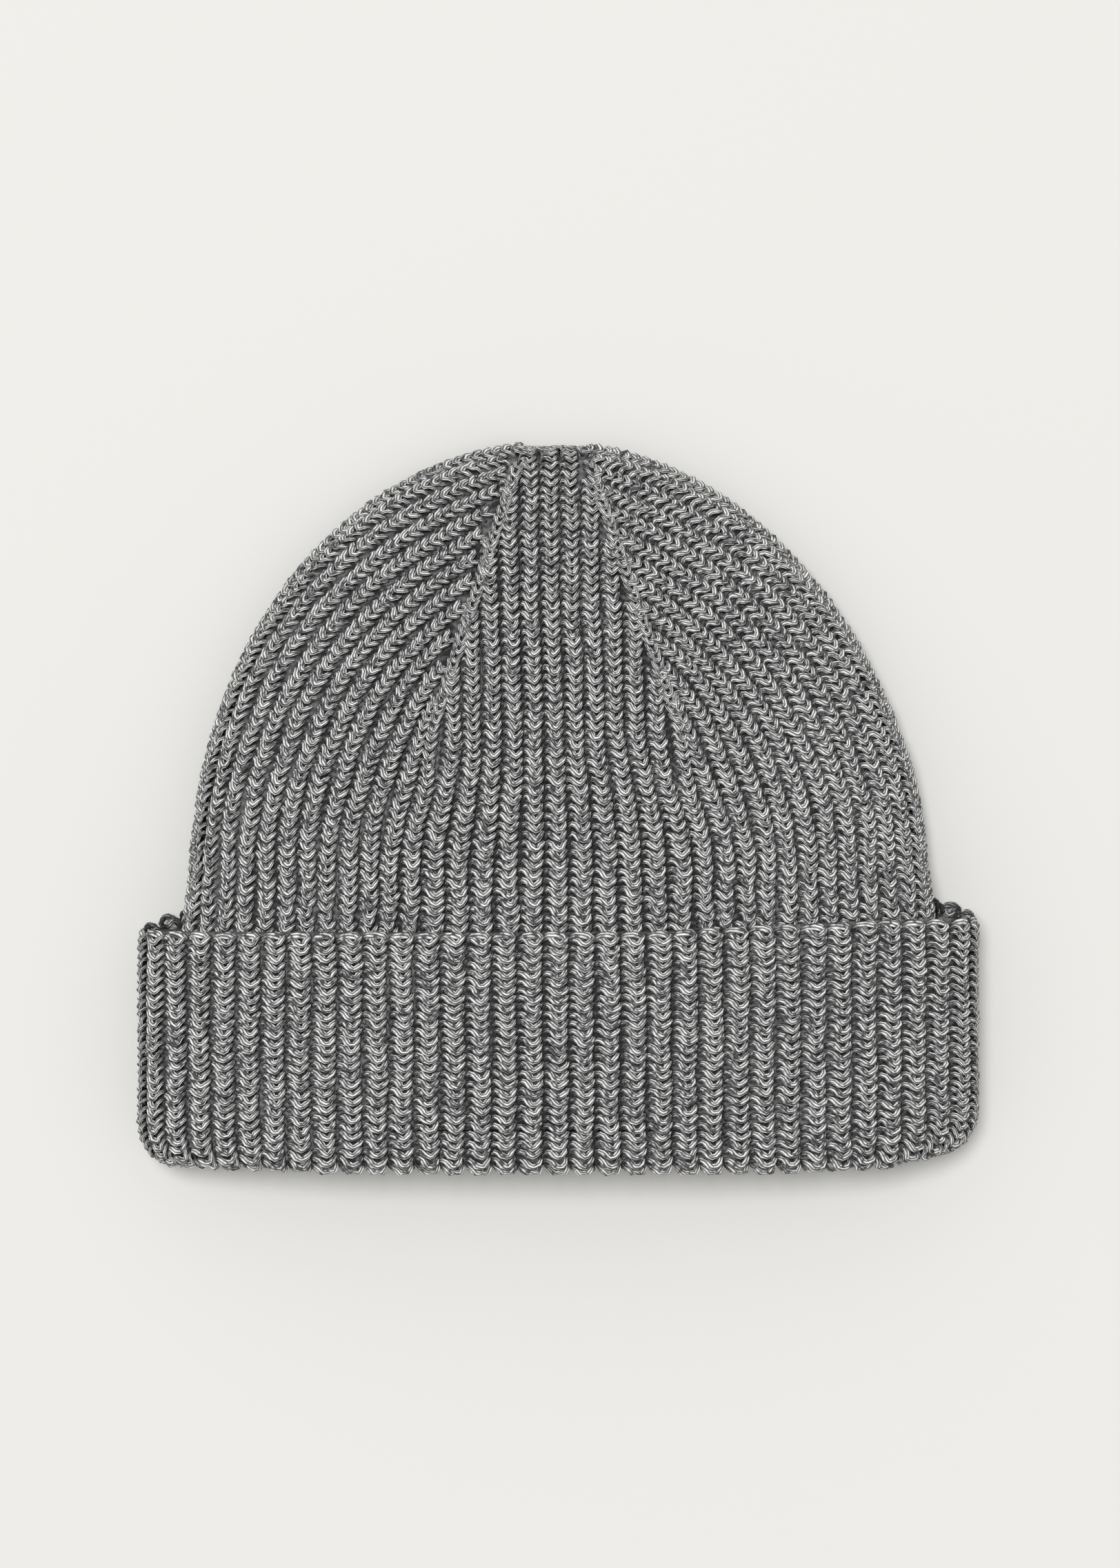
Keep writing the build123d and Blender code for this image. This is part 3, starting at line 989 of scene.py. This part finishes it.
def guideObject(name, stitches):
    mesh = bpy.data.meshes.new(name + "Guide")
    mesh.from_pydata(stitches["place"].tolist(), [], [])
    for attribute in ("along", "outward"):
        values = mesh.attributes.new(attribute, "FLOAT_VECTOR", "POINT")
        values.data.foreach_set("vector", stitches[attribute].astype(np.float32).ravel())
    for attribute in ("pitch", "row"):
        values = mesh.attributes.new(attribute, "FLOAT", "POINT")
        values.data.foreach_set("value", stitches[attribute].astype(np.float32))
    return addToScene(name + "Guide", mesh)


def knitPiece(name, stitches, collection, material, number):
    # one piece of fabric as a plain mesh, with its stitches laid on a guide that is then removed
    guide = guideObject(name, stitches)
    modifier = guide.modifiers.new("layStitches", "NODES")
    modifier.node_group = stitchTreeGroup
    values = {
        "Stitches": collection,
        "Stitch Pitch": stitch["pitch"],
        "Stitch Row": stitch["row"],
        "Depth": ribLay["depth"],
        "Tilt": ribLay["tilt"],
        "Size Variation": ribLay["sizeVariation"],
        "Variants": stitch["variants"],
        "Seed": knit["seed"] + ribLay["seedStep"] * number,
        "Material": material,
    }
    for socket in stitchTreeGroup.interface.items_tree:
        if socket.in_out == "INPUT" and socket.name in values:
            modifier[socket.identifier] = values[socket.name]
    bpy.context.view_layer.update()
    evaluated = guide.evaluated_get(bpy.context.evaluated_depsgraph_get())
    mesh = bpy.data.meshes.new_from_object(evaluated)
    mesh.name = name
    bpy.data.objects.remove(guide)
    return addToScene(name, mesh)


def slotOf(name):
    if name == "careLabel":
        return "label_tape"
    if "Link" in name or "Seam" in name or "Gather" in name:
        return "linking_yarn"
    return "edge_yarn" if "Edge" in name else "rib_knit"


yarns = {
    "rib_knit": (ribStitches, ribKnit),
    "linking_yarn": (linkStitches, linkingYarn),
    "edge_yarn": (capStitches, edgeYarn),
}
pieces = {}
for number, (name, parts) in enumerate(sorted(pieceStitches.items())):
    pieces[name] = knitPiece(name, joined(parts), *yarns[slotOf(name)], number)
    print("knitted", name, len(pieces[name].data.polygons))

# The cloth under the stitches, as thin closed layers, coloured dark as painted shade

backing = {
    "outerInset": 3.2 * mm,
    "innerInset": 4.1 * mm,
    "ringSteps": 96,
    "firstStation": 6 * mm,
    "stations": 80,
    "crowding": 1.5,
    "cuffGap": 2 * mm,  # it stops this far below the bound-off edge
    "cuffSteps": 14,
    "foldSteps": 6,
    "lipSteps": 13,
    "sideShare": 0.62,  # of the way round, where the turn-up's side meets its back
}


def ringPoints(size, s, span):
    # points across a section between two shares of the way round, negative on the left
    shares = np.linspace(span[0], span[1], backing["ringSteps"] + 1)
    x, z, arc = halfRing(size)[:3]
    at = np.abs(shares) * arc[-1]
    points = np.stack((np.interp(at, arc, x), 0 * at + hat["mouthY"] + s, np.interp(at, arc, z)), axis=1)
    points[:, 0] *= np.where(shares < 0, -1, 1)
    return points


def volumeOf(points, faces):
    # signed volume of a closed mesh of quads: positive where its faces point outwards
    a, b, c, d = np.array(points)[np.array(faces)].transpose(1, 0, 2)
    return float((a * (np.cross(b, c) + np.cross(c, d))).sum() / 6)


def thinCloth(name, outer, inner, ringClosed, material):
    # a closed thin layer between two grids of points, whose rows run across the hat
    rows, columns = outer.shape[:2]
    spans = columns if ringClosed else columns - 1
    points = leaned(np.concatenate((outer.reshape(-1, 3), inner.reshape(-1, 3)))).tolist()
    faces = []
    lower = rows * columns
    for i in range(rows - 1):
        for j in range(spans):
            k = (j + 1) % columns
            quad = [i * columns + j, i * columns + k, (i + 1) * columns + k, (i + 1) * columns + j]
            faces.append(quad)
            faces.append([lower + corner for corner in quad[::-1]])
    for i, order in ((0, -1), (rows - 1, 1)):
        for j in range(spans):
            k = (j + 1) % columns
            rim = [i * columns + j, i * columns + k, lower + i * columns + k, lower + i * columns + j]
            faces.append(rim[::order])
    if not ringClosed:
        for j, order in ((0, 1), (columns - 1, -1)):
            for i in range(rows - 1):
                near, far = i * columns + j, (i + 1) * columns + j
                faces.append([near, far, lower + far, lower + near][::order])
    if volumeOf(points, faces) < 0:
        faces = [face[::-1] for face in faces]
    mesh = bpy.data.meshes.new(name)
    mesh.from_pydata(points, [], faces)
    mesh.materials.append(material)
    mesh.shade_smooth()
    return addToScene(name, mesh)


def clothOf(name, sectionsAt, insets, span=(-1, 1)):
    # cloth between two insets; over the whole way round it closes on itself
    ringClosed = span == (-1, 1)
    count = backing["ringSteps"] + (0 if ringClosed else 1)
    layers = []
    for inset in insets:
        layers.append(np.array([ringPoints(size, s, span)[:count] for s, size in sectionsAt(inset)]))
    return thinCloth(name, *layers, ringClosed, innerKnitPaintedShade)


def bodySections(inset):
    stations = stationsFrom(backing["firstStation"], backing["stations"], backing["crowding"])
    return [(s, bodySize(s, inset)) for s in np.minimum(stations, hat["height"] - inset)]


def foldSections(inset):
    # from the flap round the lip to the lining
    fold = hat["fabric"] + hat["layerGap"] / 2
    turn = fold - inset
    steps = backing["foldSteps"]
    found = [(s, cuffSize(s, inset)) for s in np.linspace(hat["foldEnd"], fold, steps)[:-1]]
    for angle in np.linspace(0, np.pi, backing["lipSteps"]):
        s = fold - turn * np.sin(angle)
        found.append((s, cuffSize(s, fold - turn * np.cos(angle))))
    found += [(s, bodySize(s, hat["fabric"] - inset)) for s in np.linspace(fold, hat["foldEnd"], steps)[1:]]
    return found


def cuffSections(start, inset):
    stations = np.linspace(start, hat["cuffEnd"] - backing["cuffGap"], backing["cuffSteps"])
    return [(s, cuffSize(s, inset)) for s in stations]


# The folded care label on the lining, left blank

label = {
    "width": 28 * mm,
    "start": 14 * mm,
    "end": 56 * mm,
    "lift": 0.25 * mm,  # above the lining's low side
    "tape": 0.3 * mm,
    "foldRadius": 0.25 * mm,
    "curl": 0.4 * mm,
    "wave": 5,
    "waveShare": 0.5,
    "steps": (24, 9, 21),  # of a run, of the fold and across
    "colour": (0.82, 0.81, 0.78, 1),
    "shade": 0.72,  # of the colour, between the threads
    "threads": 2600,  # in a metre
    "relief": 0.08 * mm,
}


def tapeMaterial():
    material, tree, shader = newMaterial("labelTape", {"Roughness": 0.5, "Sheen Weight": 0.2})
    maths = partial(mathNode, tree)
    across, up = split(tree, built(tree, "ShaderNodeTexCoord", out="Object"))
    warp = maths("SINE", maths("MULTIPLY", across, label["threads"] * 2 * np.pi))
    weft = maths("SINE", maths("MULTIPLY", up, label["threads"] * np.pi))
    weave = maths("MULTIPLY_ADD", maths("MULTIPLY", warp, weft), 0.5, 0.5)
    shade = [channel * label["shade"] for channel in label["colour"][:3]]
    colour = rampOf(tree, weave, ((0, (*shade, 1)), (1, label["colour"])))
    dress(tree, shader, colour, weave, label["relief"])
    return material


def careLabel():
    # a tape folded back on itself, with its two ends sewn in at the mouth
    half, turn = label["tape"] / 2, label["foldRadius"]
    runSteps, foldSteps, acrossSteps = label["steps"]
    run = np.linspace(label["start"], label["end"] - turn - half, runSteps)
    angle = np.radians(np.linspace(-90, 90, foldSteps)[1:-1])
    low = bodySize(hat["cuffEnd"], hat["fabric"])[1] + label["lift"] + half
    line = np.concatenate((
        np.stack((run, 0 * run + low), axis=1),
        np.stack((run[-1] + turn * np.cos(angle), low + turn + turn * np.sin(angle)), axis=1),
        np.stack((run[::-1], 0 * run + low + 2 * turn), axis=1),
    ))
    facing = np.concatenate((
        np.tile((0.0, -1.0), (len(run), 1)), np.stack((np.cos(angle), np.sin(angle)), axis=1),
        np.tile((0.0, 1.0), (len(run), 1)),
    ))
    x = np.linspace(-0.5, 0.5, acrossSteps) * label["width"]
    wave = 1 + label["waveShare"] * np.cos(x / label["width"] * label["wave"])
    layers = []
    for face in (1, -1):
        s, z = (line + facing * half * face).T
        far = (s - label["start"]) / (label["end"] - label["start"])
        across, away = np.meshgrid(x, s)
        rise = label["curl"] * far[:, None] ** 2 * wave
        layers.append(np.stack((across, hat["mouthY"] + away, z[:, None] + rise), axis=2))
    return thinCloth("careLabel", layers[0], layers[1], False, tapeMaterial())


print("laying the cloth")
outerToInner = (backing["outerInset"], backing["innerInset"])
pieces["bodyCloth"] = clothOf("bodyCloth", bodySections, outerToInner)
pieces["foldCloth"] = clothOf("foldCloth", foldSections, outerToInner[::-1])
x, _, arc, _ = halfRing(cuffSize(hat["cuffEnd"], backing["outerInset"]))
over = slice(100)  # the top of the section, where x only grows
middleShare = np.interp(cuff["middleHalf"], x[over], arc[over]) / arc[-1]
sideShare = backing["sideShare"]
cuffSpans = {
    "Front": (-middleShare, middleShare),
    "SideRight": (middleShare, sideShare),
    "SideLeft": (-sideShare, -middleShare),
    "BackRight": (sideShare, 1),
    "BackLeft": (-1, -sideShare),
}
for where, span in cuffSpans.items():
    sections = partial(cuffSections, hat["flapStart"] if where == "Front" else hat["foldEnd"])
    pieces["cuffCloth" + where] = clothOf("cuffCloth" + where, sections, outerToInner, span)
pieces["careLabel"] = careLabel()

# Camera, light and floor

view = {
    "height": 1.4,
    "frameHeight": 445.9 * mm,  # what the picture's long side spans at focusZ
    "centreX": 0.5 * mm,
    "centreY": 5.4 * mm,
    "focusZ": 20 * mm,
    "sensor": 36.0,
}
studio = {
    "keyPlace": (-0.6, 0.75, 5.2),
    "keySize": 1.7,
    "keyPower": 200,
    "air": (1.0, 0.995, 0.985, 1),
    "airStrength": 0.60,
    "floorReach": 6.0,
    "floorDrop": 0.35 * mm,  # the underside's yarn stands this far below the ground
    "paper": (0.668, 0.664, 0.642, 1),
}


def addCamera():
    camera = bpy.data.cameras.new("camera")
    camera.sensor_width = view["sensor"]
    camera.lens = view["sensor"] * (view["height"] - view["focusZ"]) / view["frameHeight"]
    place = (view["centreX"], view["centreY"], view["height"])
    bpy.context.scene.camera = addToScene("camera", camera, place)


def addLight():
    light = bpy.data.lights.new("key", "AREA")
    light.shape = "DISK"
    light.size = studio["keySize"]
    light.energy = studio["keyPower"]
    holder = addToScene("key", light, studio["keyPlace"])
    holder.rotation_euler = (-Vector(studio["keyPlace"])).to_track_quat("-Z", "Y").to_euler()
    world = bpy.data.worlds.new("studio")
    world.use_nodes = True
    background = world.node_tree.nodes["Background"]
    background.inputs["Color"].default_value = studio["air"]
    background.inputs["Strength"].default_value = studio["airStrength"]
    bpy.context.scene.world = world


def addFloor():
    reach = studio["floorReach"]
    mesh = bpy.data.meshes.new("floor")
    corners = [(-reach, -reach, 0), (reach, -reach, 0), (reach, reach, 0), (-reach, reach, 0)]
    mesh.from_pydata(corners, [], [(0, 1, 2, 3)])
    look = {"Base Color": studio["paper"], "Roughness": 0.95, "Specular IOR Level": 0.1}
    mesh.materials.append(newMaterial("paper", look)[0])
    addToScene("floor", mesh, (0, 0, -studio["floorDrop"]))


addCamera()
addFloor()
addLight()
bpy.context.scene.view_settings.view_transform = "Standard"

# Which body each piece moves with and which CAD nodes it stands for

flapPieces = ("cuffFrontRibs", "cuffEdgeFront", "cuffClothFront")
addedPieces = ("bodyFrontLeft", "bodyFrontRight", "mouthLining", "bodyCloth", "cuffCloth",
               "cuffEdgeBackRight")
stands = {
    "foldCloth": ("mouth_fold_left", "mouth_fold_right"),
    "cuffEdgeSideLeft": ("cuff_edge_left",),
    "cuffEdgeSideRight": ("cuff_edge_right",),
    "cuffEdgeBackLeft": ("cuff_edge_back",),
}


def nodesOf(name):
    # bodyFrontRibs stands for body_front, and so on, but for the pieces in stands and addedPieces
    if name.startswith(addedPieces):
        return ()
    letters = name.removesuffix("Ribs")
    ownNode = "".join("_" + letter.lower() if letter.isupper() else letter for letter in letters)
    return stands.get(name, (ownNode,))


for name, piece in pieces.items():
    if name in flapPieces:
        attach(piece, "cuff_flap")
    elif name.startswith(("cuffSide", "cuffEdgeSide", "cuffClothSide")):
        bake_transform(piece)
    else:
        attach(piece, "hat")
    if nodesOf(name):
        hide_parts(*nodesOf(name))
